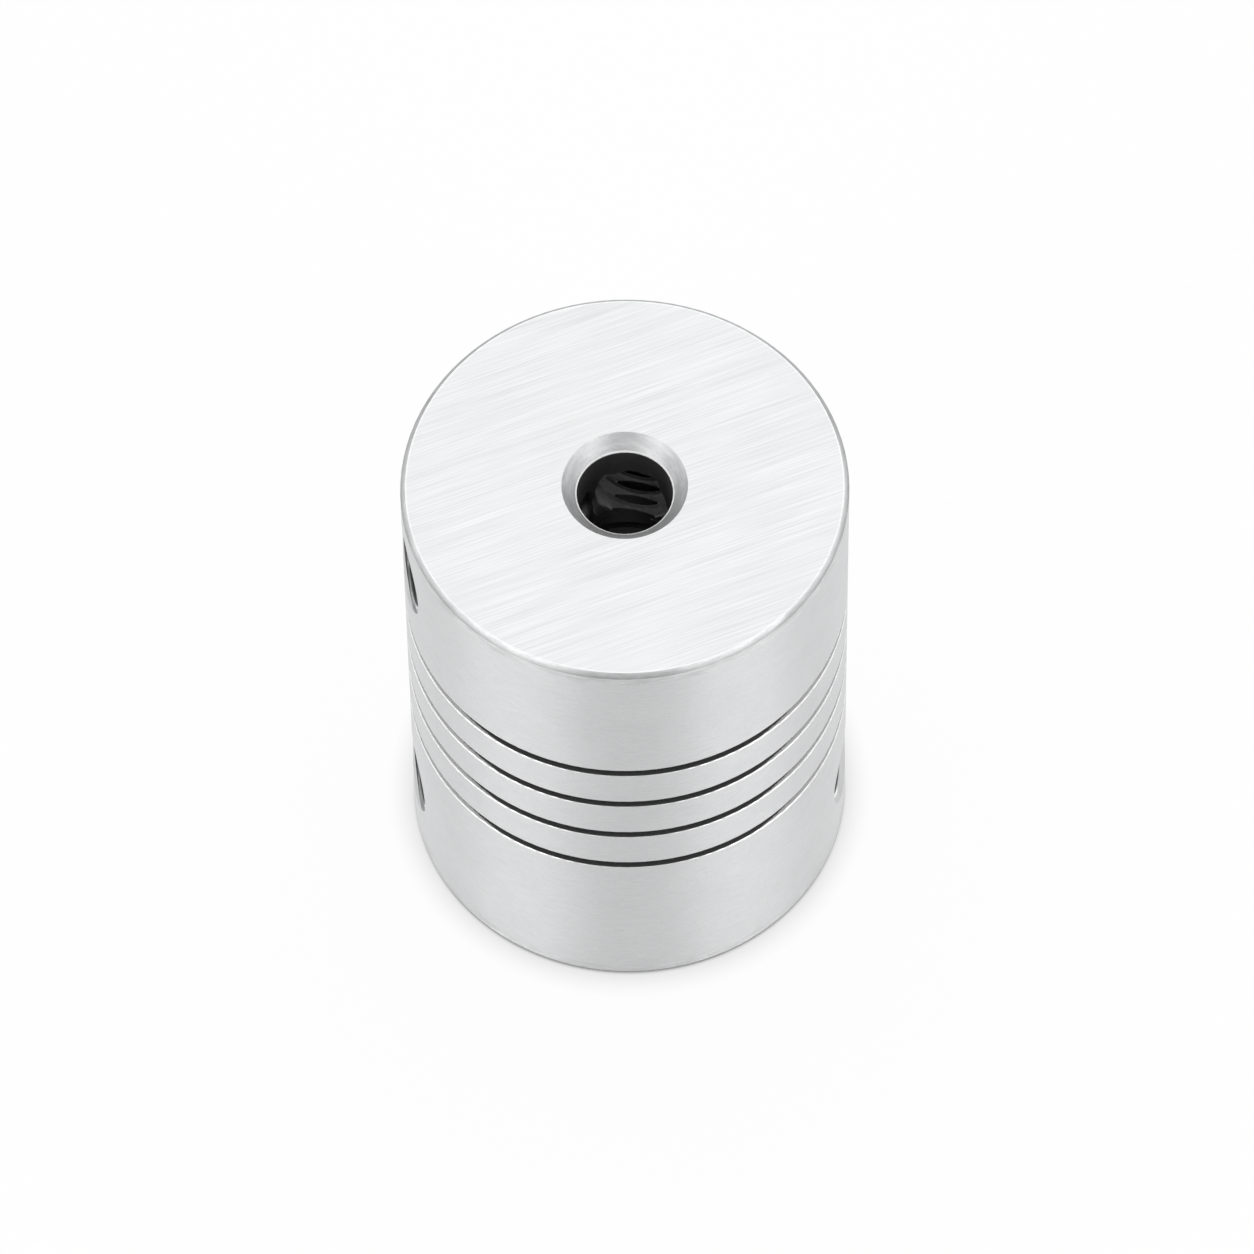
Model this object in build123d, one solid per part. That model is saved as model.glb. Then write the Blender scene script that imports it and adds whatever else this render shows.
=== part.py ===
from build123d import *
import math
import os

# One-piece flexible shaft coupling with parallel slits and set-screw hubs.
# Millimetres and degrees. Z is the shaft axis and the lower end face is at Z = 0.
# Angles go round the axis from the front (-Y), positive towards +X.

# Body
outer_diameter = 19.0
length = 25.0
edge_chamfer = 0.2

# Bores: each hub takes a shaft from its own end, and a wider relief joins the two
shaft_diameter = 4.0
shaft_clearance = 0.1
mouth_chamfer = 0.63
relief_depth = 0.95
bore_land = 0.1

# Flexure: saw cuts across the body, each stopping short of the rim to leave one web
upper_hub_length = 7.7
slit_width = 0.45
beam_thickness = 2.11
web_thickness = 2.4
web_angles = (135, 225, 135, 225)
slit_edge_break = 0.03

# Set screws, M4: places in each hub, and the tapped holes
upper_screw_from_end = 3.75
lower_screw_from_end = 4.2
upper_screw_angles = (-80, 170)
lower_screw_angles = (-82, 82)
tap_drill = 3.3
countersink_diameter = 4.3
countersink_angle = 120

# The screws themselves, drawn at the root of their thread
screw_clearance = 0.03
screw_length = 4.0
screw_recess = 1.3
screw_end_chamfer = 0.25
socket_width = 2.0
socket_depth = 1.8
cup_diameter = 1.9
drill_point_angle = 118

# Worked out from the sizes above
body_radius = outer_diameter / 2
bore_radius = (shaft_diameter + shaft_clearance) / 2
mouth_radius = bore_radius + mouth_chamfer
relief_radius = bore_radius + relief_depth
hole_radius = tap_drill / 2
upper_bore_length = upper_screw_from_end + hole_radius + bore_land
lower_bore_length = lower_screw_from_end + hole_radius + bore_land
slit_pitch = slit_width + beam_thickness
first_slit_height = length - upper_hub_length - slit_width / 2


def turned_blank():
    """The turned body: chamfered rims, a stepped bore and chamfered bore mouths."""
    # The section is drawn at the front, where the angles start
    front = Plane(origin=(0, 0, 0), x_dir=(0, -1, 0), z_dir=(-1, 0, 0))
    section = make_face(
        Polyline(
            (mouth_radius, 0),
            (body_radius - edge_chamfer, 0),
            (body_radius, edge_chamfer),
            (body_radius, length - edge_chamfer),
            (body_radius - edge_chamfer, length),
            (mouth_radius, length),
            (bore_radius, length - mouth_chamfer),
            (bore_radius, length - upper_bore_length),
            (relief_radius, length - upper_bore_length),
            (relief_radius, lower_bore_length),
            (bore_radius, lower_bore_length),
            (bore_radius, mouth_chamfer),
            close=True,
        )
    )
    return revolve(front * section, Axis.Z)


def radial_plane(angle, height):
    """A plane on the shaft axis whose normal points straight out at this angle."""
    outward = (math.sin(math.radians(angle)), -math.cos(math.radians(angle)), 0)
    return Plane(origin=(0, 0, height), x_dir=(0, 0, 1), z_dir=outward)


def slit_cut(height, web_angle):
    """A level saw cut through the whole body except a web on one side."""
    across = 2 * outer_diameter
    cut_end = body_radius - web_thickness
    blade = Box(slit_width, across, across, align=(Align.CENTER, Align.CENTER, Align.MAX))
    return radial_plane(web_angle, height) * Pos(0, 0, cut_end) * blade


def slit_cuts():
    """The cuts from the upper hub down, with their webs on alternate sides."""
    heights = [first_slit_height - slit_pitch * n for n in range(len(web_angles))]
    return [slit_cut(height, angle) for height, angle in zip(heights, web_angles)]


def with_broken_slit_edges(body):
    """The body with a small flat along each slit where it opens on the outside."""
    highest = first_slit_height + slit_pitch / 2
    lowest = highest - slit_pitch * len(web_angles)
    arcs = body.edges().filter_by(GeomType.CIRCLE).filter_by_position(Axis.Z, lowest, highest)
    outer_arcs = arcs.group_by(SortBy.RADIUS)[-1]
    return chamfer(outer_arcs, slit_edge_break)


def screw_hole(angle, height):
    """A tapped hole from the bore to the outside, countersunk at its mouth."""
    countersink_radius = countersink_diameter / 2
    depth = (countersink_radius - hole_radius) / math.tan(math.radians(countersink_angle / 2))
    drill = Cylinder(hole_radius, outer_diameter, align=(Align.CENTER, Align.CENTER, Align.MIN))
    flare = Cone(hole_radius, countersink_radius, depth, align=(Align.CENTER, Align.CENTER, Align.MAX))
    return radial_plane(angle, height) * (drill + Pos(0, 0, body_radius) * flare)


def set_screw():
    """A hexagon-socket set screw along Z, from its cup point at Z = 0 to its socket end."""
    radius = hole_radius - screw_clearance
    shank = Cylinder(radius, screw_length, align=(Align.CENTER, Align.CENTER, Align.MIN))
    shank = chamfer(shank.edges().filter_by(GeomType.CIRCLE), screw_end_chamfer)
    socket_radius = socket_width / 2
    hexagon = RegularPolygon(socket_radius, 6, major_radius=False)
    socket = Pos(0, 0, screw_length) * extrude(hexagon, -socket_depth)
    slope = math.tan(math.radians(drill_point_angle / 2))
    tip = Cone(0, socket_radius, socket_radius / slope, align=(Align.CENTER, Align.CENTER, Align.MAX))
    cup_radius = cup_diameter / 2
    cup = Cone(cup_radius, 0, cup_radius / slope, align=(Align.CENTER, Align.CENTER, Align.MIN))
    return shank - socket - Pos(0, 0, screw_length - socket_depth) * tip - cup


def hub_screws(name, angles, height):
    """Each set screw of one hub, driven in to just below the outside of the body."""
    point_radius = body_radius - screw_recess - screw_length
    screws = {}
    for number, angle in enumerate(angles, start=1):
        screws[f"{name}_set_screw_{number}"] = radial_plane(angle, height) * Pos(0, 0, point_radius) * set_screw()
    return screws


def coupling_body(upper_height, lower_height):
    """The whole coupling, machined from one bar."""
    holes = [screw_hole(angle, upper_height) for angle in upper_screw_angles]
    holes += [screw_hole(angle, lower_height) for angle in lower_screw_angles]
    return with_broken_slit_edges(turned_blank() - slit_cuts()) - holes


def build():
    """Every piece of the coupling, by node name."""
    upper_height = length - upper_screw_from_end
    lower_height = lower_screw_from_end
    pieces = {"coupling_body": coupling_body(upper_height, lower_height)}
    pieces.update(hub_screws("upper", upper_screw_angles, upper_height))
    pieces.update(hub_screws("lower", lower_screw_angles, lower_height))
    return pieces


os.makedirs("parts", exist_ok=True)
for node, piece in build().items():
    export_step(piece, f"parts/{node}.step")
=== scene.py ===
import math

import bmesh
import bpy
from mathutils import Matrix, Vector


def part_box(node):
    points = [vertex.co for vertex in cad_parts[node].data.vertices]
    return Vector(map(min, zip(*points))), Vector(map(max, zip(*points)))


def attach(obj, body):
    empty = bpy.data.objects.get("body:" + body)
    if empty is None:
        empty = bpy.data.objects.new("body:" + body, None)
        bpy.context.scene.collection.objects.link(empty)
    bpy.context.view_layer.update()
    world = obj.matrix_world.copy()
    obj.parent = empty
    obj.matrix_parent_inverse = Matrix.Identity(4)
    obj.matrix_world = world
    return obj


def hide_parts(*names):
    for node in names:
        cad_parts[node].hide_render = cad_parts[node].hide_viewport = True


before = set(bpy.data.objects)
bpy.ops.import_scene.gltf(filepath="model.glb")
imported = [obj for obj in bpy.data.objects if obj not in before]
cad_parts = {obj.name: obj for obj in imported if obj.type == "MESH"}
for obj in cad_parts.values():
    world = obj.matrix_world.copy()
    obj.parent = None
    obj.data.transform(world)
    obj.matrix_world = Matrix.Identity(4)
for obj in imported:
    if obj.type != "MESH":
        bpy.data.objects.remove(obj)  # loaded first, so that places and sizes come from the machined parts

bl_info = {
    "name": "Slit coupling",
    "version": (1, 0, 0),
    "blender": (4, 5, 0),
    "location": "3D View > Sidebar > Coupling",
    "description": "Finishes, threads and studio for a slit shaft coupling",
    "category": "Object",
}

# Axes: Z is the shaft axis, the lower end face is at Z = 0 and the front is -Y. Metres.
MM = 0.001
BODY = "coupling_body"
SCREWS = [name for name in sorted(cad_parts) if "set_screw" in name]
HIGHEST = Vector(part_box(BODY)[1])
BODY_RADIUS = HIGHEST.x
BODY_LENGTH = HIGHEST.z
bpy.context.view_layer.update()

# Places on the body, which the finishes follow
BORE_RADIUS = 2.05 * MM
MOUTH_DEPTH = 0.63 * MM
RIM_CHAMFER = 0.2 * MM
SKIN = 0.35 * MM  # what lies deeper than this under the outside counts as inside
HOLE_FOOT = BODY_RADIUS - 0.22 * MM  # where the countersinks end, measured from the shaft's axis
RELIEF_START = 5.5 * MM  # from the upper end face; the lower one starts a little deeper
SLIT_ZONE = 6 * MM  # all slits lie within this of the coupling's middle
SLIT_PITCH = 2.56 * MM
FIRST_SLIT_FOOT = BODY_LENGTH - 8.18 * MM  # lower edge of the highest slit, under its broken edge
LAST_SLIT_FOOT = FIRST_SLIT_FOOT - 3.2 * SLIT_PITCH  # a little under the lowest slit

# Threads: where their first turn starts and their last one ends, measured from the shaft's axis
THREAD_START = 1.2 * MM
THREAD_END = 10.0 * MM
THREAD_ROOT = 0.15 * MM  # how far a thread's solid reaches inside the surface that it stands on
TURN_STEPS = 36  # facets to a turn of thread

# Facets that count as parts of a turned surface
WIDEST_FACET = math.radians(16)
FLATNESS = 0.02 * MM  # how far a corner may be off the surface
FULLY_OUT = 0.95  # a facet on the outside faces outwards at least this much
HARDLY_OUT = 0.05  # a facet that faces outwards less than this is part of an end
ASIDE = 0.06  # a facet that faces aside more than this isn't turned round the shaft's axis
HOLE_REACH = 2.3 * MM  # what is this near the line of a tapped hole is turned round it
SCREW_REACH = 3.0 * MM
BODY_REACH = 1.0  # far past the whole body

# Materials
NOISE_LOW, NOISE_HIGH = 0.3, 0.7  # nearly all of a noise lies between these
ROUGHNESS_SWING = 0.04  # how far the grain moves the roughness up and down
QUARTER_TURN = 0.25  # turns a stretched highlight to lie along the shaft axis


# ---------------------------------------------------------------- sizes and colours


def length_setting(name, description, default):
    """A length that a user may change, in metres."""
    return bpy.props.FloatProperty(
        name=name,
        description=description,
        default=default,
        min=0.0,
        precision=6,
        subtype="DISTANCE",
        unit="LENGTH",
    )


def angle_setting(name, description, degrees):
    """An angle that a user may change."""
    return bpy.props.FloatProperty(
        name=name,
        description=description,
        default=math.radians(degrees),
        subtype="ANGLE",
        unit="ROTATION",
    )


def share_setting(name, description, default):
    """A share from 0 to 1 that a user may change."""
    return bpy.props.FloatProperty(
        name=name,
        description=description,
        default=default,
        min=0.0,
        max=1.0,
        subtype="FACTOR",
    )


def level_setting(name, description, default):
    """A level of light that a user may change, where 1 is plain white."""
    return bpy.props.FloatProperty(name=name, description=description, default=default, min=0.0)


def colour_setting(name, description, default):
    """A colour that a user may change."""
    return bpy.props.FloatVectorProperty(
        name=name,
        description=description,
        default=default,
        size=3,
        min=0.0,
        max=1.0,
        subtype="COLOR",
    )


class FinishSettings(bpy.types.PropertyGroup):
    """Colours and surface of the machined body and of the set screws, and the painted shade and painted
    highlights of the body.
    """

    metal_colour: colour_setting("Aluminium", "Colour of the bare metal", (0.67, 0.675, 0.68))
    # The tones below darken the bores, holes, relief and slits: painted shade in the hollows.
    bore_painted_shade: share_setting("Bore tone", "Share of the metal's brightness in the bores", 0.48)
    hole_painted_shade: share_setting(
        "Hole tone", "Share of the metal's brightness in the tapped holes near the outside", 0.2
    )
    relief_painted_shade: share_setting(
        "Deep tone", "Share of the metal's brightness in the relief between the bores", 0.2
    )
    slit_painted_shade: share_setting(
        "Slit tone", "Share of the metal's brightness on the sides of the slits", 0.36
    )
    # Colour of the rubbed-bright slit edges, and also of the painted highlights on the body.
    edge_and_highlight_colour: colour_setting(
        "Bright edges", "Colour of the metal where it is rubbed bright", (0.95, 0.95, 0.95)
    )
    turned_roughness: share_setting("Turned roughness", "How dull the turned outside is", 0.45)
    turned_spread: share_setting(
        "Turned spread", "How far the fine rings of the lathe spread light along the axis", 0.85
    )
    face_roughness: share_setting("End face roughness", "How dull the brushed end faces are", 0.34)
    brush_angle: angle_setting(
        "Brushing direction", "Direction of the lines on the end faces, from +X towards +Y", 21.5
    )
    brush_depth: length_setting(
        "Brushing depth", "Depth of the fine lines on the end faces", 0.0015 * MM
    )
    grain_depth: length_setting(
        "Grain depth", "Depth of the fine mottling on the turned metal", 0.002 * MM
    )
    screw_colour: colour_setting(
        "Set screws", "Colour of the blackened steel", (0.09, 0.09, 0.095)
    )


class ThreadSettings(bpy.types.PropertyGroup):
    """The thread of the tapped holes and of the set screws in them."""

    pitch: length_setting("Pitch", "Distance from one turn of the thread to the next", 0.7 * MM)
    hole_radius: length_setting(
        "Hole radius", "Radius of the tapped holes as they are drilled", 1.65 * MM
    )
    groove_radius: length_setting(
        "Groove radius", "Radius of the bottom of the groove that the tap cuts", 1.985 * MM
    )
    groove_mouth: length_setting(
        "Groove mouth", "Width of the groove at the wall of the hole", 0.525 * MM
    )
    groove_floor: length_setting(
        "Groove floor", "Width of the bottom of the groove", 0.14 * MM
    )
    screw_radius: length_setting(
        "Screw radius", "Radius of the set screws at the root of their thread", 1.62 * MM
    )
    ridge_radius: length_setting(
        "Ridge radius", "Radius of the crest of the set screws' thread", 1.93 * MM
    )
    ridge_crest: length_setting(
        "Ridge crest", "Width of the crest of the set screws' thread", 0.09 * MM
    )
    ridge_foot: length_setting(
        "Ridge foot", "Width of the thread at the set screws' core", 0.44 * MM
    )


class StageSettings(bpy.types.PropertyGroup):
    """Floor, light and camera."""

    floor_size: length_setting("Floor", "Side of the floor", 1.2)
    floor_colour: colour_setting("Floor colour", "Colour of the floor", (0.9, 0.9, 0.9))
    floor_white: share_setting(
        "Floor white", "Share of the floor that shows the room's plain white, not a shade", 0.93
    )
    # Reaches of the painted shadow and the painted dark line on the floor.
    shadow_reach: length_setting(
        "Shadow reach", "How far the soft shadow at the coupling's foot spreads", 1.3 * MM
    )
    foot_reach: length_setting(
        "Foot reach", "How far the dark line under the coupling's foot spreads", 0.3 * MM
    )
    front_light: level_setting("Front light", "Level of the light from the front", 0.76)
    side_light: level_setting("Side light", "Level of the light from front left and right", 4.8)
    side_angle: angle_setting(
        "Side light angle", "How far round from the front the left and right lights stand", 45
    )
    wing_light: level_setting(
        "Wing light", "Level of the light straight from the left and right", 1.35
    )
    back_light: level_setting("Back light", "Level of the light from low behind", 0.8)
    top_light: level_setting("Top light", "Level of the light from high behind", 1.68)
    camera_distance: length_setting(
        "Camera distance", "From the camera to the middle of the coupling", 0.47575
    )
    camera_elevation: angle_setting(
        "Camera elevation", "Height of the camera over the level, as an angle", 58.57
    )
    camera_roll: angle_setting("Camera roll", "How far the camera leans to its right", 0.92)
    camera_lens: bpy.props.FloatProperty(
        name="Lens",
        description="Focal length on a sensor 36 mm wide",
        default=315.8,
        min=10.0,
        subtype="DISTANCE_CAMERA",
    )
    aim_above_middle: length_setting(
        "Aim", "How far above the middle of the coupling the camera aims", 1.018 * MM
    )


# ---------------------------------------------------------------- material building


class Nodes:
    """Short ways to add and join the nodes of one material, or of the world."""

    def __init__(self, owner):
        self.material = bpy.data.materials.new(owner) if isinstance(owner, str) else owner
        self.material.use_nodes = True
        self.tree = self.material.node_tree
        self.tree.nodes.clear()

    def object_place(self):
        """The place on the piece, whole and as x, y and z."""
        self.place = self.add("ShaderNodeTexCoord").outputs["Object"]
        split = self.add("ShaderNodeSeparateXYZ")
        self.join(self.place, split.inputs[0])
        self.x, self.y, self.z = split.outputs[:3]

    def add(self, kind, **settings):
        """A new node with these settings."""
        node = self.tree.nodes.new(kind)
        for setting, value in settings.items():
            setattr(node, setting, value)
        return node

    def join(self, value, socket):
        """Links an output to a socket, or sets the socket to a plain value."""
        if isinstance(value, bpy.types.NodeSocket):
            self.tree.links.new(value, socket)
        else:
            socket.default_value = value

    def maths(self, operation, *values):
        """One Math node on these values."""
        node = self.add("ShaderNodeMath", operation=operation)
        for value, socket in zip(values, node.inputs):
            self.join(value, socket)
        return node.outputs[0]

    def product(self, *values):
        """These values multiplied together."""
        total = values[0]
        for value in values[1:]:
            total = self.maths("MULTIPLY", total, value)
        return total

    def near(self, value, target, reach):
        """1 where value is within reach of target, and 0 elsewhere."""
        away = self.maths("ABSOLUTE", self.maths("SUBTRACT", value, target))
        return self.maths("LESS_THAN", away, reach)

    def hypotenuse(self, x, y):
        """Length of (x, y)."""
        squares = self.maths("ADD", self.product(x, x), self.product(y, y))
        return self.maths("SQRT", squares)

    def sideways(self, x, radius):
        """0 straight in front and behind, and 1 straight to the left and right."""
        return self.maths("DIVIDE", self.maths("ABSOLUTE", x), radius)

    def ramp(self, value, start, end, low=0.0, high=1.0, smooth=True):
        """value mapped from start..end to low..high, held at both ends."""
        kind = "SMOOTHSTEP" if smooth else "LINEAR"
        node = self.add("ShaderNodeMapRange", interpolation_type=kind)
        for given, socket in zip((value, start, end, low, high), node.inputs):
            self.join(given, socket)
        return node.outputs[0]

    def vary(self, noise, low, high):
        """A noise mapped evenly to low..high."""
        return self.ramp(noise, NOISE_LOW, NOISE_HIGH, low, high, smooth=False)

    def blend(self, share, first, second, kind="FLOAT"):
        """first where share is 0 and second where it is 1."""
        node = self.add("ShaderNodeMix", data_type=kind)
        inputs = [s for s in node.inputs if s.enabled]
        for value, socket in zip((share, first, second), inputs):
            self.join(value, socket)
        return [s for s in node.outputs if s.enabled][0]

    def noise(self, scale, stretch=(1, 1, 1), turn=(0, 0, 0), detail=2.0, roughness=0.5):
        """Noise with scale cells to the metre, stretched along some axes and turned."""
        mapping = self.add("ShaderNodeMapping", vector_type="TEXTURE")
        self.join(self.place, mapping.inputs["Vector"])
        mapping.inputs["Rotation"].default_value = turn
        mapping.inputs["Scale"].default_value = stretch
        node = self.add("ShaderNodeTexNoise")
        self.join(mapping.outputs[0], node.inputs["Vector"])
        node.inputs["Scale"].default_value = scale
        node.inputs["Detail"].default_value = detail
        node.inputs["Roughness"].default_value = roughness
        return node.outputs["Fac"]

    def bump(self, height, distance):
        """Bump from a height of 0 to 1 over distance in metres."""
        node = self.add("ShaderNodeBump")
        self.join(height, node.inputs["Height"])
        node.inputs["Distance"].default_value = distance
        return node.outputs["Normal"]

    def principled(self, colour, roughness, normal=None):
        """A bare metal with these inputs, wired to the output."""
        shader = self.add("ShaderNodeBsdfPrincipled")
        shader.inputs["Metallic"].default_value = 1.0
        self.join(colour, shader.inputs["Base Color"])
        self.join(roughness, shader.inputs["Roughness"])
        if normal is not None:
            self.join(normal, shader.inputs["Normal"])
        output = self.add("ShaderNodeOutputMaterial")
        self.join(shader.outputs[0], output.inputs["Surface"])
        return shader


def colour4(colour):
    """A colour with a full alpha."""
    return (*colour, 1.0)


def tinted(n, colour, tone):
    """A colour made lighter or darker by a tone that varies over the surface."""
    scale = n.add("ShaderNodeVectorMath", operation="SCALE")
    scale.inputs[0].default_value = tuple(colour)
    n.join(tone, scale.inputs["Scale"])
    return scale.outputs[0]


def aluminium_with_painted_highlight(n, settings, tone, bright, roughness, normal):
    """Aluminium with this tone, and a painted highlight in plain pale colour, not metallic, where bright
    is 1.
    """
    metal = tinted(n, settings.metal_colour, tone)
    colour = n.blend(bright, metal, colour4(settings.edge_and_highlight_colour), kind="RGBA")
    shader = n.principled(colour, roughness, normal)
    n.join(n.maths("SUBTRACT", 1.0, bright), shader.inputs["Metallic"])
    return shader


def painted_inside_shade(n, settings, radius, from_end):
    """Painted shade inside: the bores, the tapped holes out of them and the relief between are painted
    darker, with painted light on the wall of a hole near the bore away from the end face.
    """
    in_hole = n.ramp(radius, BORE_RADIUS + 0.05 * MM, BORE_RADIUS + 0.3 * MM)
    dim_wall, lit_wall = 0.35, 1.8  # painted shade and painted light on the wall of a hole near the bore, towards the end face and away
    hole_wall = n.ramp(from_end, 3.8 * MM, 4.8 * MM, dim_wall, lit_wall)
    hole = n.blend(n.ramp(radius, 4.5 * MM, 6 * MM), hole_wall, settings.hole_painted_shade)
    hub = n.blend(in_hole, settings.bore_painted_shade, hole)
    relief = n.product(in_hole, n.maths("GREATER_THAN", from_end, RELIEF_START))
    inner = n.blend(relief, hub, settings.relief_painted_shade)
    outer = n.ramp(radius, HOLE_FOOT - 0.05 * MM, HOLE_FOOT)
    return n.blend(outer, inner, 1.0)


def tool_marks(n):
    """The uneven turning marks of the chamfered mouths."""
    rings = n.noise(1600, stretch=(2.0, 2.0, 0.4), detail=3.0, roughness=0.7)
    return n.vary(rings, 0.86, 1.12)


def painted_rim_light_and_shade(n, radius, from_end):
    """The broken rims, with painted light and shade: lighter towards the end face, darker below and dull
    at the back.
    """
    # Painted highlight at the top of the chamfer, painted shade below it and at the back.
    front = n.ramp(from_end, 0.0, RIM_CHAMFER, 1.25, 0.66, smooth=False)
    back = 0.7
    shade = n.blend(n.ramp(n.y, -0.1 * BODY_RADIUS, 0.5 * BODY_RADIUS), front, back)
    outer = n.ramp(radius, BODY_RADIUS - SKIN, BODY_RADIUS - 0.25 * MM)
    on_rim = n.product(outer, n.maths("LESS_THAN", from_end, RIM_CHAMFER))
    return n.blend(on_rim, 1.0, shade)


def painted_slit_highlight(n, radius):
    """A painted highlight: the ragged bright line under each slit, towards the left and right of the front
    half.
    """
    rough = n.noise(3500, detail=3.0, roughness=0.6)
    reach = n.ramp(rough, 0.35, 0.65, 0.035 * MM, 0.11 * MM, smooth=False)
    depth = n.maths("MODULO", n.maths("SUBTRACT", FIRST_SLIT_FOOT, n.z), SLIT_PITCH)
    below = n.product(n.maths("GREATER_THAN", depth, 0.0), n.maths("LESS_THAN", depth, reach))
    under_first = n.maths("LESS_THAN", n.z, FIRST_SLIT_FOOT)
    over_last = n.maths("GREATER_THAN", n.z, LAST_SLIT_FOOT)
    in_front = n.ramp(n.y, 0.0, -0.15 * BODY_RADIUS)
    aside = n.product(n.ramp(n.sideways(n.x, radius), 0.3, 0.75), in_front)
    return n.product(below, n.product(under_first, over_last), aside)


def painted_bore_glints(n, radius, from_end):
    """Painted highlights: bright lips of the bores, and glinting patches at the relief's edges and the
    countersinks' feet.
    """
    at_bore = n.near(radius, BORE_RADIUS + 0.02 * MM, 0.035 * MM)
    at_lip = n.product(at_bore, n.maths("LESS_THAN", from_end, MOUTH_DEPTH + 0.02 * MM))
    past_bore = n.maths("GREATER_THAN", from_end, RELIEF_START - 0.05 * MM)
    at_relief = n.product(at_bore, past_bore)
    past_rim = n.maths("GREATER_THAN", from_end, 1 * MM)
    at_foot = n.product(n.near(radius, HOLE_FOOT + 0.02 * MM, 0.03 * MM), past_rim)
    patches = n.ramp(n.noise(700, detail=1.0), 0.48, 0.56)
    in_patches = n.product(n.maths("MAXIMUM", at_relief, at_foot), patches)
    return n.maths("MAXIMUM", at_lip, in_patches)


def lathe_aluminium(settings, name, spread):
    """Turned metal with a fine mottling, painted shade inside and painted highlights, which spreads light
    along the axis by this share.
    """
    n = Nodes(name)
    n.object_place()
    radius = n.hypotenuse(n.x, n.y)
    from_middle = n.maths("ABSOLUTE", n.maths("SUBTRACT", n.z, BODY_LENGTH / 2))
    from_end = n.maths("SUBTRACT", BODY_LENGTH / 2, from_middle)
    mouth = n.ramp(from_end, MOUTH_DEPTH + 0.1 * MM, MOUTH_DEPTH)
    grain = n.noise(9000, detail=3.0, roughness=0.6)
    rings = n.noise(6000, stretch=(4, 4, 0.25))
    dashes = n.noise(1500, stretch=(1.3, 1.3, 0.15))
    # The tone holds the painted shade inside and the painted light and shade on the rims.
    tone = n.product(
        n.vary(grain, 0.96, 1.04),
        n.vary(rings, 0.955, 1.045),
        n.vary(n.noise(500), 0.985, 1.015),
        n.blend(mouth, painted_inside_shade(n, settings, radius, from_end), tool_marks(n)),
        painted_rim_light_and_shade(n, radius, from_end),
        n.ramp(dashes, 0.6, 0.7, 1.0, 1.02),
    )
    # Painted highlights under the slits and along the bores.
    bright = n.maths("MAXIMUM", painted_slit_highlight(n, radius), painted_bore_glints(n, radius, from_end))
    dullness = settings.turned_roughness
    roughness = n.vary(grain, dullness - ROUGHNESS_SWING, dullness + ROUGHNESS_SWING)
    normal = n.bump(grain, settings.grain_depth)
    shader = aluminium_with_painted_highlight(n, settings, tone, bright, roughness, normal)
    shader.inputs["Anisotropic"].default_value = spread
    shader.inputs["Anisotropic Rotation"].default_value = QUARTER_TURN
    round_axis = n.add("ShaderNodeTangent", direction_type="RADIAL", axis="Z")
    n.join(round_axis.outputs[0], shader.inputs["Tangent"])
    return n.material


def turned_aluminium(settings):
    """The turned outside and the broken rims."""
    return lathe_aluminium(settings, "turned_aluminium", settings.turned_spread)


def bored_aluminium(settings):
    """The bores, their chamfered mouths, the relief and the tapped holes, with their painted shade."""
    return lathe_aluminium(settings, "bored_aluminium", 0.0)


def brushed_aluminium(settings):
    """The end faces, brushed in one direction."""
    n = Nodes("brushed_aluminium")
    n.object_place()
    turn = (0, 0, settings.brush_angle)
    fine = n.noise(14000, stretch=(60, 1, 1), turn=turn, detail=3.0)
    broad = n.noise(2500, stretch=(30, 1, 1), turn=turn, detail=3.0)
    rim = BODY_RADIUS - RIM_CHAMFER
    tone = n.product(
        n.vary(fine, 0.92, 1.08),
        n.vary(broad, 0.96, 1.04),
        n.vary(n.noise(300), 0.985, 1.015),
        # Painted highlight: a brighter ring just inside the end face's rim.
        n.ramp(n.hypotenuse(n.x, n.y), rim - 0.09 * MM, rim - 0.04 * MM, 1.0, 1.12),
    )
    dullness = settings.face_roughness
    roughness = n.vary(broad, dullness - ROUGHNESS_SWING, dullness + ROUGHNESS_SWING)
    colour = tinted(n, settings.metal_colour, tone)
    n.principled(colour, roughness, n.bump(fine, settings.brush_depth))
    return n.material


def slit_painted_shade_and_highlight(settings):
    """The sides of the slits: dull and painted dark as shade, with a painted highlight along a ragged rim
    towards left and right.
    """
    n = Nodes("slit_painted_shade_and_highlight")
    n.object_place()
    radius = n.hypotenuse(n.x, n.y)
    grain = n.noise(9000, detail=3.0, roughness=0.6)
    facing = n.maths("MAXIMUM", n.maths("DIVIDE", n.product(n.y, -1.0), radius), 0.0)
    widest = 0.36 * MM
    reach = n.product(
        n.ramp(n.sideways(n.x, radius), 0.57, 0.83, 0.0, widest, smooth=False),
        facing,
        n.vary(grain, 0.8, 1.2),
    )
    # Painted highlight along the outer rim of the slits' lower sides, widest towards front left and right.
    inward = n.maths("SUBTRACT", BODY_RADIUS, radius)
    on_rim = n.ramp(inward, n.maths("ADD", reach, 0.04 * MM), reach)
    bright = n.product(on_rim, n.ramp(facing, 0.0, 0.15, 0.0, 0.85))
    tone = n.vary(grain, settings.slit_painted_shade * 0.85, settings.slit_painted_shade * 1.15)
    aluminium_with_painted_highlight(n, settings, tone, bright, 0.6, n.bump(grain, 0.004 * MM))
    return n.material


def bright_edge(settings):
    """The broken edges of the slits, rubbed bright and a little duller in patches."""
    n = Nodes("bright_edge")
    n.object_place()
    patches = n.noise(2200, detail=3.0, roughness=0.6)
    tone = n.ramp(patches, 0.35, 0.6, 0.8, 1.0)
    n.principled(tinted(n, settings.edge_and_highlight_colour, tone), 0.3)
    return n.material


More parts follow.
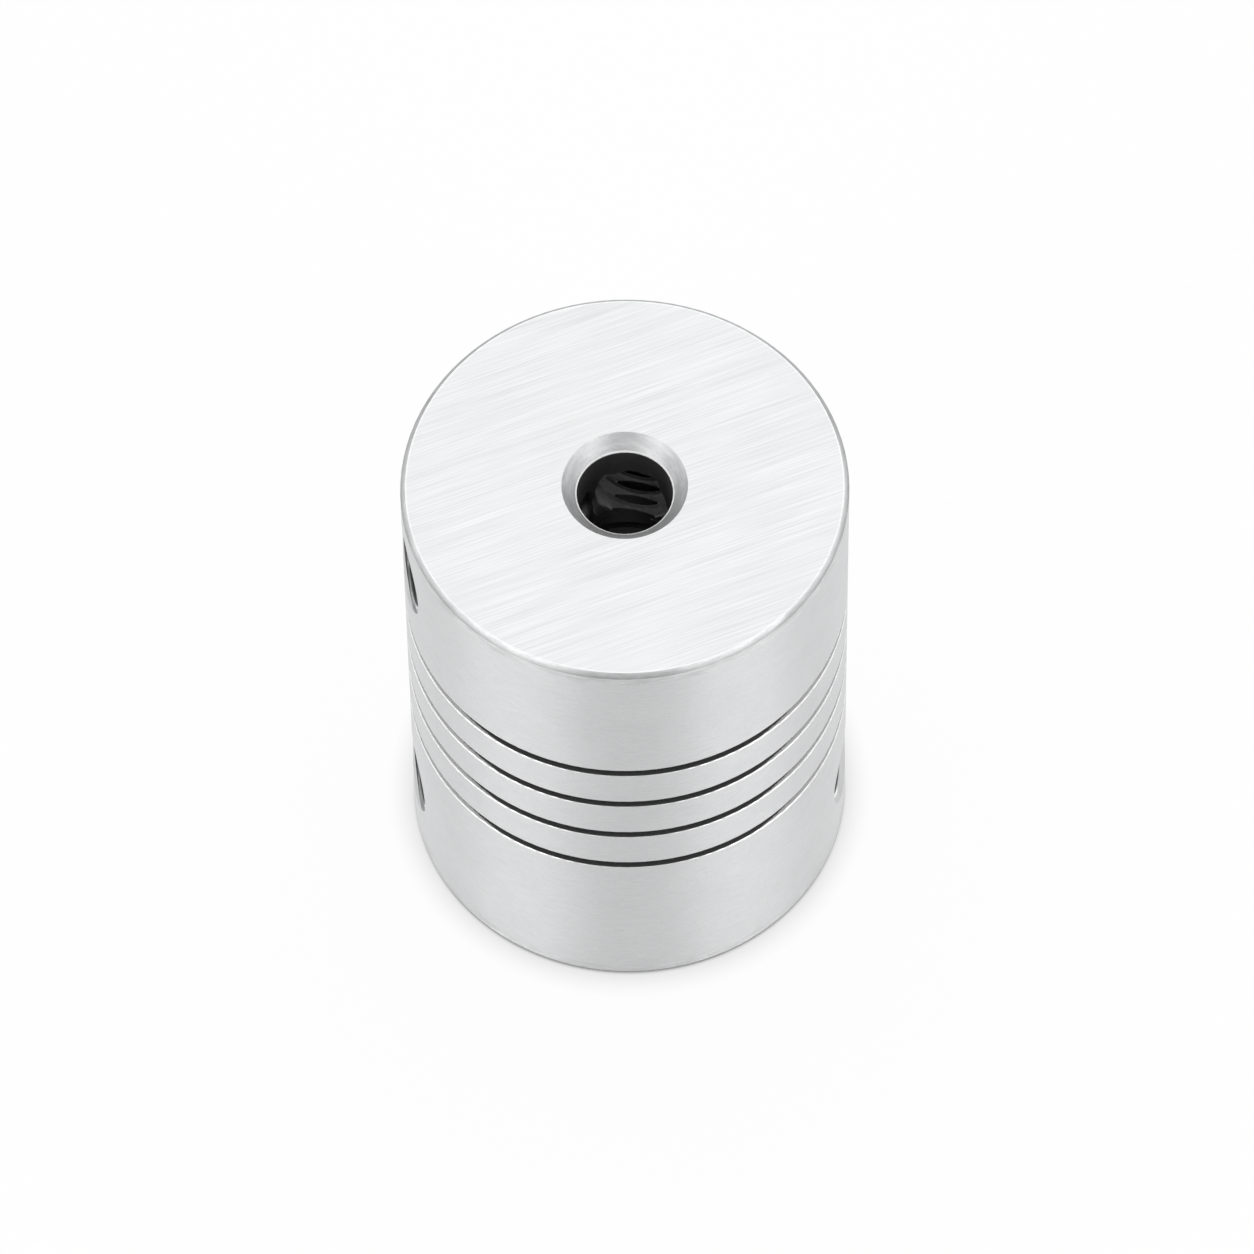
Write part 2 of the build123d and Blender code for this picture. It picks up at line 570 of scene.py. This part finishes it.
def blackened_steel(settings):
    """Black oxide with a faint grain."""
    n = Nodes("blackened_steel")
    n.object_place()
    grain = n.noise(6000, detail=3.0)
    colour = tinted(n, settings.screw_colour, n.vary(grain, 0.8, 1.2))
    n.principled(colour, n.vary(grain, 0.3, 0.42), n.bump(grain, 0.003 * MM))
    return n.material


FINISHES = (turned_aluminium, brushed_aluminium, slit_painted_shade_and_highlight, bright_edge, bored_aluminium)


def finish_of(face):
    """The finish that a face of the body has."""
    middle = face.calc_center_median()
    radius = math.hypot(middle.x, middle.y)
    from_middle = abs(middle.z - BODY_LENGTH / 2)
    level = abs(face.normal.z)
    if from_middle > BODY_LENGTH / 2 - 0.01 * MM:
        return brushed_aluminium
    if level > 0.999 and from_middle < SLIT_ZONE:
        return slit_painted_shade_and_highlight
    if radius > BODY_RADIUS - 0.06 * MM and 0.5 < level < 0.9 and from_middle < SLIT_ZONE:
        return bright_edge
    return turned_aluminium if radius > BODY_RADIUS - SKIN else bored_aluminium


# ---------------------------------------------------------------- meshes


def new_object(name, mesh):
    """An object in the scene, made from a bmesh that is then freed."""
    data = bpy.data.meshes.new(name)
    mesh.to_mesh(data)
    mesh.free()
    made = bpy.data.objects.new(name, data)
    bpy.context.scene.collection.objects.link(made)
    return made


def as_object(mesh, name):
    """Turns a bmesh in metres into an object drawn in millimetres, in which cuts are exact."""
    mesh.transform(Matrix.Scale(1 / MM, 4))
    return new_object(name, mesh)


def node_copy(name):
    """A merged copy of a machined part's mesh, with its flat faces whole again."""
    mesh = bmesh.new()
    mesh.from_mesh(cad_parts[name].data)
    bmesh.ops.remove_doubles(mesh, verts=mesh.verts, dist=0.001 * MM)
    flat = math.radians(0.05)
    bmesh.ops.dissolve_limit(mesh, angle_limit=flat, verts=mesh.verts, edges=mesh.edges)
    return mesh


def combine(base, others, operation):
    """Cuts, joins or limits one object by others, and returns the new mesh in metres."""
    for other in others:
        step = base.modifiers.new(other.name, "BOOLEAN")
        step.operation = operation
        step.object = other
        step.solver = "EXACT"
    graph = bpy.context.evaluated_depsgraph_get()
    result = bpy.data.meshes.new_from_object(base.evaluated_get(graph))
    for thing in (base, *others):
        bpy.data.objects.remove(thing)
    mesh = bmesh.new()
    mesh.from_mesh(result)
    mesh.transform(Matrix.Scale(MM, 4))
    return mesh


# ---------------------------------------------------------------- threads


def screw_line(name):
    """A set screw's direction outwards, its height, and how far its ends are from the axis."""
    low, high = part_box(name)
    middle = (Vector(low) + Vector(high)) / 2
    outward = Vector((middle.x, middle.y, 0)).normalized()
    reach = [vertex.co.dot(outward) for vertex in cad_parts[name].data.vertices]
    return outward, middle.z, min(reach), max(reach)


def on_line(outward, height):
    """Turns +Z to a hole's own direction and lifts it to the hole's height."""
    turn = Vector((0, 0, 1)).rotation_difference(outward).to_matrix().to_4x4()
    return Matrix.Translation((0, 0, height)) @ turn


def helix(section, pitch, start, end):
    """A closed solid swept round Z as a thread, from start to end, from (radius, height) points."""
    turns = (end - start) / pitch
    steps = math.ceil(turns * TURN_STEPS)
    mesh = bmesh.new()
    corners = [mesh.verts.new((radius, 0, start + height)) for radius, height in section]
    face = mesh.faces.new(corners)
    bmesh.ops.spin(
        mesh,
        geom=[face, *face.edges, *corners],
        axis=(0, 0, 1),
        cent=(0, 0, 0),
        dvec=(0, 0, (end - start) / steps),
        angle=2 * math.pi * turns,
        steps=steps,
        use_duplicate=False,
    )
    bmesh.ops.recalc_face_normals(mesh, faces=mesh.faces)
    return mesh


def thread_section(inner_radius, outer_radius, inner_width, outer_width):
    """The section of a thread that stands out from one radius to another, and its root inside."""
    foot, crest = inner_width / 2, outer_width / 2
    root = inner_radius - THREAD_ROOT
    return (
        (root, -foot),
        (inner_radius, -foot),
        (outer_radius, -crest),
        (outer_radius, crest),
        (inner_radius, foot),
        (root, foot),
    )


def tap_groove(sizes):
    """What the tap takes out of a hole, all the way from the bore to the outside."""
    section = thread_section(
        sizes.hole_radius, sizes.groove_radius, sizes.groove_mouth, sizes.groove_floor
    )
    return helix(section, sizes.pitch, THREAD_START, THREAD_END)


def screw_ridge(sizes, start, end):
    """The ridge of a set screw's thread, in step with the groove of its hole."""
    section = thread_section(
        sizes.screw_radius, sizes.ridge_radius, sizes.ridge_foot, sizes.ridge_crest
    )
    turns_before = math.floor((start - THREAD_START) / sizes.pitch) - 1
    first = THREAD_START + turns_before * sizes.pitch
    return helix(section, sizes.pitch, first, end + sizes.pitch)


def screw_envelope(sizes, start, end):
    """A plain cylinder with its ends turned down, which the ridge of a set screw stays in."""
    turned_down = 0.36 * MM
    radius = sizes.ridge_radius + 0.02 * MM
    mesh = bmesh.new()
    bmesh.ops.create_cone(
        mesh,
        cap_ends=True,
        segments=64,
        radius1=radius,
        radius2=radius,
        depth=end - start,
        matrix=Matrix.Translation((0, 0, (start + end) / 2)),
    )
    rims = [edge for edge in mesh.edges if edge.calc_face_angle() > 1.0]
    bmesh.ops.bevel(
        mesh,
        geom=rims,
        offset=turned_down,
        affect="EDGES",
        segments=1,
        profile=0.5,
        material=-1,
    )
    return mesh


# ---------------------------------------------------------------- pieces


class Axis:
    """A line that surfaces are turned round, with places on it as radius, angle and height."""

    def __init__(self, along, through):
        self.along = along
        self.through = through
        self.across = along.orthogonal().normalized()
        self.third = along.cross(self.across)

    def place(self, point):
        """(radius, angle, height) of a point."""
        offset = point - self.through
        first, second = offset.dot(self.across), offset.dot(self.third)
        return math.hypot(first, second), math.atan2(second, first), offset.dot(self.along)

    def direction(self, angle, parts):
        """The direction with these radial, round and axial parts at an angle."""
        radial = self.across * math.cos(angle) + self.third * math.sin(angle)
        around = self.third * math.cos(angle) - self.across * math.sin(angle)
        return radial * parts[0] + around * parts[1] + self.along * parts[2]

    def parts(self, angle, vector):
        """Radial, round and axial parts of a vector at an angle."""
        radial, around = self.direction(angle, (1, 0, 0)), self.direction(angle, (0, 1, 0))
        return vector.dot(radial), vector.dot(around), vector.dot(self.along)

    def normals(self, face, reach, helical):
        """The normals of a facet's corners if it is part of a surface turned round this line.

        The facet has to be within reach of the line. A helical surface is a thread, which is only
        on the line's own side of the shaft. The result is None if the facet is no part of one.
        """
        radii, angles, heights = zip(*(self.place(corner.co) for corner in face.verts))
        behind = self.place(face.calc_center_median())[2] < 0
        if max(radii) > reach or (helical and behind):
            return None
        turns = [(angle - angles[0] + math.pi) % (2 * math.pi) - math.pi for angle in angles]
        middle = angles[0] + (max(turns) + min(turns)) / 2
        radial, around, axial = self.parts(middle, face.normal)
        outside = min(radii) > BODY_RADIUS - 0.001 * MM and radial > FULLY_OUT
        if outside and not helical:
            return [self.direction(angle, (1, 0, 0)) for angle in angles]
        if max(turns) - min(turns) > WIDEST_FACET:
            return None
        if not helical:
            if abs(radial) < HARDLY_OUT or abs(around) > ASIDE:
                return None
            around = 0.0
        for radius, turn, height in zip(radii, turns, heights):
            rise = radial * (radius - radii[0]) + around * radii[0] * turn
            if abs(rise + axial * (height - heights[0])) > FLATNESS:
                return None
        parts = (radial, around, axial)
        return [self.direction(angle, parts).normalized() for angle in angles]


def smooth_normals(mesh, axes):
    """One normal for each corner of each face: smooth along turned surfaces and flat elsewhere."""
    given = []
    for face in mesh.faces:
        found = None
        for axis, reach, helical in axes:
            found = axis.normals(face, reach, helical)
            if found:
                break
        given.extend(found or [face.normal.copy()] * len(face.verts))
    return given


def finish_piece(mesh, name, materials, axes):
    """Makes a piece of a bmesh in place, with its turned surfaces smooth."""
    mesh.normal_update()
    for face in mesh.faces:
        face.smooth = True
    normals = smooth_normals(mesh, axes)
    piece = new_object(name, mesh)
    piece.data.normals_split_custom_set(normals)
    for material in materials:
        piece.data.materials.append(material)
    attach(piece, "root")
    return piece


def cut_body(settings, sizes):
    """The machined body with the thread of its four holes cut."""
    body = as_object(node_copy(BODY), "uncut_body")
    grooves = []
    axes = [(Axis(Vector((0, 0, 1)), Vector((0, 0, 0))), BODY_REACH, False)]
    for name in SCREWS:
        outward, height, _, _ = screw_line(name)
        axes.append((Axis(outward, Vector((0, 0, height))), HOLE_REACH, True))
        groove = tap_groove(sizes)
        groove.transform(on_line(outward, height))
        grooves.append(as_object(groove, name + "_groove"))
    mesh = combine(body, grooves, "DIFFERENCE")
    bmesh.ops.remove_doubles(mesh, verts=mesh.verts, dist=0.0001 * MM)
    for face in mesh.faces:
        face.material_index = FINISHES.index(finish_of(face))
    materials = [finish(settings) for finish in FINISHES]
    piece = finish_piece(mesh, "threaded_body", materials, axes)
    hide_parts(BODY)


def cut_screw(name, sizes, material):
    """One set screw with its thread."""
    outward, height, start, end = screw_line(name)
    ridge = as_object(screw_ridge(sizes, start, end), name + "_ridge")
    envelope = as_object(screw_envelope(sizes, start, end), name + "_envelope")
    thread = combine(ridge, [envelope], "INTERSECT")
    thread.transform(on_line(outward, height))
    core = as_object(node_copy(name), name + "_core")
    mesh = combine(core, [as_object(thread, name + "_thread")], "UNION")
    axes = [(Axis(outward, Vector((0, 0, height))), SCREW_REACH, True)]
    piece = finish_piece(mesh, "threaded_" + name, (material,), axes)
    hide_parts(name)


# ---------------------------------------------------------------- stage


def openness(n, reach):
    """How open the surface is to all that stands within this reach of it."""
    node = n.add("ShaderNodeAmbientOcclusion", samples=8, only_local=False)
    node.inputs["Distance"].default_value = reach
    return node.outputs["AO"]


def white_floor(settings):
    """A pale floor as white as the room, with a painted shadow and a painted dark line at the coupling's
    foot, where nearness to the coupling darkens the white.
    """
    n = Nodes("white_floor")
    diffuse = n.add("ShaderNodeBsdfDiffuse")
    n.join(colour4(settings.floor_colour), diffuse.inputs["Color"])
    white = n.add("ShaderNodeEmission")
    # Painted shadow and painted dark foot line: the white emission is darkened by how near the coupling
    # is.
    shadow = n.maths("POWER", openness(n, settings.shadow_reach), 0.33)
    foot = n.ramp(openness(n, settings.foot_reach), 0.25, 0.7, 0.3, 1.0)
    n.join(n.product(shadow, foot), white.inputs["Strength"])
    path = n.add("ShaderNodeLightPath")
    seen = n.maths("MAXIMUM", path.outputs["Is Camera Ray"], path.outputs["Is Glossy Ray"])
    seen = n.maths("MAXIMUM", seen, path.outputs["Is Transmission Ray"])
    both = n.add("ShaderNodeMixShader")
    n.join(n.product(seen, settings.floor_white), both.inputs[0])
    n.join(diffuse.outputs[0], both.inputs[1])
    n.join(white.outputs[0], both.inputs[2])
    output = n.add("ShaderNodeOutputMaterial")
    n.join(both.outputs[0], output.inputs["Surface"])
    return n.material


def lay_floor(settings):
    """A square floor under the coupling."""
    mesh = bmesh.new()
    bmesh.ops.create_grid(mesh, x_segments=1, y_segments=1, size=settings.floor_size / 2)
    floor = new_object("floor", mesh)
    floor.data.materials.append(white_floor(settings))


def light_from(n, settings, direction):
    """How strong the light is from each direction round the coupling."""
    split = n.add("ShaderNodeSeparateXYZ")
    n.join(direction, split.inputs[0])
    x, y, z = split.outputs[:3]
    level = n.maths("MAXIMUM", n.hypotenuse(x, y), 0.001)  # never 0, as it is divided by
    behind = n.ramp(n.maths("DIVIDE", y, level), -0.5, 0.3)
    low = n.blend(behind, settings.front_light, settings.back_light)
    wings = n.product(n.ramp(n.sideways(x, level), 0.86, 0.98), n.ramp(z, 0.7, 0.3))
    low = n.blend(wings, low, settings.wing_light)
    aside = n.product(n.maths("ABSOLUTE", x), math.sin(settings.side_angle))
    ahead = n.product(y, math.cos(settings.side_angle))
    facing = n.maths("DIVIDE", n.maths("SUBTRACT", aside, ahead), level)
    lamps = n.product(n.ramp(facing, 0.88, 0.985), n.ramp(z, 0.5, 0.15))
    low = n.blend(lamps, low, settings.side_light)
    high = n.add("ShaderNodeVectorMath", operation="DOT_PRODUCT")
    n.join(direction, high.inputs[0])
    elevation = settings.camera_elevation
    high.inputs[1].default_value = (0, math.cos(elevation), math.sin(elevation))
    return n.blend(n.ramp(high.outputs["Value"], 0.55, 0.9), low, settings.top_light)


def light_room(settings):
    """Soft light from all round, brightest at the sides and high behind, seen as plain white."""
    world = bpy.data.worlds.new("room")
    bpy.context.scene.world = world
    n = Nodes(world)
    direction = n.add("ShaderNodeTexCoord").outputs["Generated"]
    strength = light_from(n, settings, direction)
    path = n.add("ShaderNodeLightPath")
    background = n.add("ShaderNodeBackground")
    seen_white = n.blend(path.outputs["Is Camera Ray"], strength, 1.0)
    n.join(seen_white, background.inputs["Strength"])
    output = n.add("ShaderNodeOutputWorld")
    n.join(background.outputs[0], output.inputs["Surface"])


def place_camera(settings):
    """The camera in front of the coupling, looking down at it."""
    data = bpy.data.cameras.new("camera")
    data.sensor_width = 36.0
    data.lens = settings.camera_lens
    camera = bpy.data.objects.new("camera", data)
    bpy.context.scene.collection.objects.link(camera)
    middle = Vector((0, 0, BODY_LENGTH / 2))
    elevation = settings.camera_elevation
    away = Vector((0, -math.cos(elevation), math.sin(elevation)))
    place = middle + away * settings.camera_distance
    aim = middle + Vector((0, 0, settings.aim_above_middle))
    backward = (place - aim).normalized()
    right = Vector((1, 0, 0))
    up = backward.cross(right).normalized()
    lean = settings.camera_roll
    leaned_right = right * math.cos(lean) - up * math.sin(lean)
    leaned_up = backward.cross(leaned_right).normalized()
    turn = Matrix((leaned_right, leaned_up, backward)).transposed().to_4x4()
    camera.matrix_world = Matrix.Translation(place) @ turn
    bpy.context.scene.camera = camera


# ---------------------------------------------------------------- operators


class COUPLING_OT_set_stage(bpy.types.Operator):
    """Lays the floor, lights the room and places the camera"""

    bl_idname = "coupling.set_stage"
    bl_label = "Stage"

    def execute(self, context):
        settings = context.scene.coupling_stage
        place_camera(settings)
        lay_floor(settings)
        light_room(settings)
        context.scene.view_settings.view_transform = "Standard"
        return {"FINISHED"}


class COUPLING_OT_cut_body(bpy.types.Operator):
    """Cuts the thread of the four holes and finishes the body's aluminium"""

    bl_idname = "coupling.cut_body"
    bl_label = "Body"

    def execute(self, context):
        cut_body(context.scene.coupling_finish, context.scene.coupling_thread)
        return {"FINISHED"}


class COUPLING_OT_cut_screws(bpy.types.Operator):
    """Cuts the thread of the set screws and gives them their black oxide"""

    bl_idname = "coupling.cut_screws"
    bl_label = "Set screws"

    def execute(self, context):
        material = blackened_steel(context.scene.coupling_finish)
        for name in SCREWS:
            cut_screw(name, context.scene.coupling_thread, material)
        return {"FINISHED"}


class VIEW3D_PT_coupling(bpy.types.Panel):
    """The coupling's pieces, finishes and stage"""

    bl_label = "Slit coupling"
    bl_space_type = "VIEW_3D"
    bl_region_type = "UI"
    bl_category = "Coupling"

    def draw(self, context):
        groups = (
            (context.scene.coupling_finish, COUPLING_OT_cut_body),
            (context.scene.coupling_thread, COUPLING_OT_cut_screws),
            (context.scene.coupling_stage, COUPLING_OT_set_stage),
        )
        for settings, operator in groups:
            box = self.layout.box()
            for setting in settings.bl_rna.properties.keys():
                if setting not in ("rna_type", "name"):
                    box.prop(settings, setting)
            box.operator(operator.bl_idname)


CLASSES = (
    FinishSettings,
    ThreadSettings,
    StageSettings,
    COUPLING_OT_set_stage,
    COUPLING_OT_cut_body,
    COUPLING_OT_cut_screws,
    VIEW3D_PT_coupling,
)


def register():
    """Adds the settings, operators and panel."""
    for kind in CLASSES:
        bpy.utils.register_class(kind)
    bpy.types.Scene.coupling_finish = bpy.props.PointerProperty(type=FinishSettings)
    bpy.types.Scene.coupling_thread = bpy.props.PointerProperty(type=ThreadSettings)
    bpy.types.Scene.coupling_stage = bpy.props.PointerProperty(type=StageSettings)


def unregister():
    """Takes them away again."""
    del bpy.types.Scene.coupling_stage
    del bpy.types.Scene.coupling_thread
    del bpy.types.Scene.coupling_finish
    for kind in reversed(CLASSES):
        bpy.utils.unregister_class(kind)


def main():
    """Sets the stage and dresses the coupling."""
    register()
    bpy.ops.coupling.set_stage()
    bpy.ops.coupling.cut_body()
    bpy.ops.coupling.cut_screws()


if __name__ == "__main__":
    main()
